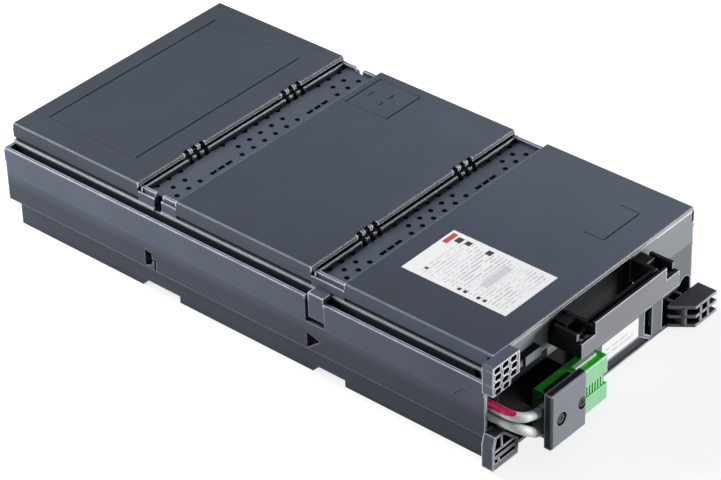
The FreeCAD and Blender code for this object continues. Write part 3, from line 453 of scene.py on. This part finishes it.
# ---------------------------------------------------------------- stage, lamps and camera
def floor_material():
    """White floor that keeps the soft shadow: a grey diffuse share plus white seen by the camera,
    in reflections and through glass."""
    g = Graph("studio_floor")
    path = g.add("ShaderNodeLightPath")
    seen = g.math("ADD", g.math("ADD", path.outputs["Is Camera Ray"], path.outputs["Is Glossy Ray"]),
                  path.outputs["Is Transmission Ray"], clamp=True)
    diffuse = g.add("ShaderNodeBsdfDiffuse")
    g.link(g.shades(seen, WHITE, 0.30, 0.34), diffuse.inputs["Color"])
    glow = g.add("ShaderNodeEmission")
    g.link(g.times(seen, 0.80), glow.inputs["Strength"])
    both = g.add("ShaderNodeAddShader")
    g.link(diffuse.outputs[0], both.inputs[0])
    g.link(glow.outputs[0], both.inputs[1])
    g.tree.nodes.remove(g.shader)
    g.link(both.outputs[0], g.tree.nodes["Material Output"].inputs["Surface"])
    return g.material


def build_floor():
    half, drop = 4.0, 0.0002
    mesh = bpy.data.meshes.new("floor")
    corners = [(-half, -half, 0.0), (half, -half, 0.0), (half, half, 0.0), (-half, half, 0.0)]
    mesh.from_pydata(corners, [], [(0, 1, 2, 3)])
    mesh.materials.append(floor_material())
    floor = bpy.data.objects.new("floor", mesh)
    floor.location.z = cad_box[0][2] - drop
    bpy.context.scene.collection.objects.link(floor)


def build_lamp(name, direction, distance, size, power):
    """Oblong soft lamp that faces the middle of the object."""
    middle = Vector((0.0, 0.0, 0.04))
    light = bpy.data.lights.new(name, "AREA")
    light.shape, light.energy = "RECTANGLE", power
    light.size, light.size_y = size
    lamp = bpy.data.objects.new(name, light)
    lamp.location = middle + Vector(direction).normalized() * distance
    lamp.rotation_euler = (middle - lamp.location).to_track_quat("-Z", "Y").to_euler()
    bpy.context.scene.collection.objects.link(lamp)


def build_world():
    world = bpy.data.worlds.new("studio")
    bpy.context.scene.world = world
    world.use_nodes = True
    sky = world.node_tree.nodes["Background"]
    sky.inputs["Color"].default_value = SKY
    sky.inputs["Strength"].default_value = 0.15


def build_camera():
    heading, drop, roll = (math.radians(angle) for angle in (camera_heading, camera_drop, camera_roll))
    ahead = Vector((math.sin(heading) * math.cos(drop), math.cos(heading) * math.cos(drop), -math.sin(drop)))
    right = ahead.cross(Vector((0.0, 0.0, 1.0))).normalized()
    up = right.cross(ahead)
    turned_right = right * math.cos(roll) + up * math.sin(roll)
    turned_up = up * math.cos(roll) - right * math.sin(roll)
    lens = bpy.data.cameras.new("camera")
    lens.sensor_width, lens.lens = sensor_mm, lens_mm
    lens.clip_start, lens.clip_end = 0.05, 20.0
    camera = bpy.data.objects.new("camera", lens)
    turn = Matrix((turned_right, turned_up, -ahead)).transposed().to_4x4()
    camera.matrix_world = Matrix.Translation(camera_place) @ turn
    bpy.context.scene.collection.objects.link(camera)
    bpy.context.scene.camera = camera


# ---------------------------------------------------------------- dressing the CAD nodes
def inner(box, in_x, in_y, in_z):
    """The box shrunk by these distances on each side; by none means 1 mm larger."""
    shrink = Vector([amount if amount else -0.001 for amount in (in_x, in_y, in_z)])
    return box[0] + shrink, box[1] - shrink


def along_sides(x0, x1, z0, z1, back=case_back, amount=1.0):
    """Boxes along the right and the left side of the case, x0 to x1 out from its middle."""
    return [((x0, case_front, z0), (x1, back, z1), amount), ((-x1, case_front, z0), (-x0, back, z1), amount)]


def dress(material, *names):
    """Give the nodes the material in place of their own."""
    for name in names:
        slots = nodes[name].data.materials
        slots.clear()
        slots.append(material)


def dress_case():
    """Tray, frame and lids."""
    lids = [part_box(name) for name in LIDS]
    strips = [((-0.1060, ahead[1].y, 0.0720), (0.1060, behind[0].y, 0.0800))
              for behind, ahead in zip(lids, lids[1:])]
    # painted shade: the plug bay and the hand pocket are near black except their front faces
    plug_bay = ((-0.0890, -0.2600, 0.0), (-0.0100, -0.1500, 0.0850))
    hand_pocket = ((-0.0890, -0.2600, 0.0300), (0.0650, -0.1500, 0.0850))
    foot_panel = ((0.0040, -0.2168, -0.0010), (0.0720, -0.2140, 0.0110))
    # painted shadow above the plug bay
    lintel = ((-0.0890, -0.2200, 0.0525), (-0.0520, -0.2100, 0.0605))
    seam_right = ((0.0500, -0.2190, seam - 0.0020), (0.1190, -0.2150, seam + 0.0020))
    # painted light: half strength on the ribbed block, a quarter on the corner's left side
    ribbed_block = ((0.0720, -0.2360, 0.0), (0.1170, -0.2185, 0.0250), 0.5)
    corner_side = ((-0.1190, -0.2300, 0.0), (-0.1150, -0.2165, 0.0860), 0.25)
    corner_roof = ((-0.1190, -0.2254, 0.0835), (-0.0850, -0.2170, 0.0860))
    # painted shadow line along each side at the waist
    waist = along_sides(0.1040, 0.1066, 0.0716, 0.0742, back=0.2180)
    # painted highlight along the bead
    bead = along_sides(0.1061, 0.1090, 0.0703, 0.0720, back=0.2185)
    # painted shadow line under the bead
    bead_foot = along_sides(0.1061, 0.1090, 0.0690, 0.0703, back=0.2185)
    walls = along_sides(0.1020, 0.1190, -0.0010, 0.0660, amount=0.82)
    strip_ends = along_sides(0.1035, 0.1090, 0.0722, 0.0780)
    # boxes where the edges are not paled
    unpaled_edges = strips + strip_ends + walls + [foot_panel, corner_roof, seam_right, plug_bay, hand_pocket]
    dress(moulded_plastic("shell_plastic", SHELL, SHELL_FRONT_LIT, painted_shade=[plug_bay, hand_pocket],
                          painted_shadow=waist + bead_foot + [lintel], painted_light=bead + [ribbed_block, corner_side],
                          quiet=unpaled_edges, shade_below_seam=0.64), "base_tray", "top_frame")
    tops = [inner(box, 0.0022, 0.0022, 0.0) for box in lids]
    skirts = ((-0.1090, case_front, 0.0730), (0.1090, case_back, 0.0815))
    # painted shadow of the handle bar on the front lid
    behind_bar = ((-0.0600, -0.2190, 0.0), (0.0530, -0.2165, 0.0840))
    dress(moulded_plastic("lid_plastic", LID, SHELL_FRONT_LIT, painted_shadow=[behind_bar],
                          quiet=tops + [skirts, seam_right], painted_light_factor=1.90, grain=0.09), *LIDS)


def dress_front_end():
    """Handle, connector, cover plate, screws and leads."""
    bar = inner(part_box("pull_handle"), 0.0, 0.0012, 0.0)
    dress(moulded_plastic("handle_plastic", HANDLE, HANDLE_FRONT_LIT, quiet=[bar], edge=0.0009), "pull_handle")
    plate = inner(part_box("cover_plate"), 0.0024, 0.0, 0.0024)
    dress(moulded_plastic("cover_plastic", COVER, COVER_FRONT_LIT, quiet=[plate], grain=0.45), "cover_plate")
    dress(green_plastic(), "connector_housing")
    dress(metal("contact_metal", CONTACT, 0.22), "connector_contacts")
    dress(plain_moulding("screw_black", SCREW_BLACK, 0.35), "cover_screws")
    dress(metal("screw_steel", SCREW_STEEL, 0.24), "handle_screws")
    dress(lead_insulation("lead_striped", True), "positive_lead")
    dress(lead_insulation("lead_white", False), "negative_lead")


def dress_inside():
    """Blocks, their tabs and links, and the foam under the lids."""
    blocks = [name for name in nodes if name.startswith("block_")]
    dress(plain_moulding("block_case", BLOCK_BLACK, 0.50), *blocks)
    dress(metal("tinned_tab", TIN, 0.30), "terminal_tabs")
    dress(plain_moulding("sleeve_plastic", SLEEVE_RED, 0.40), "tab_sleeves")
    dress(plain_moulding("link_jacket", LINK_BLACK, 0.48), "link_leads")
    dress(foam_material(), "foam_pads")


bpy.context.scene.view_settings.view_transform = "Standard"
build_camera()
build_world()
build_floor()
for lamp in LAMPS:
    build_lamp(*lamp)
dress_case()
dress_front_end()
dress_inside()
dress(paper("label_main", "main_label", 1, print_main), "main_label")
dress(paper("label_front", "front_label", 2, print_front), "front_label")
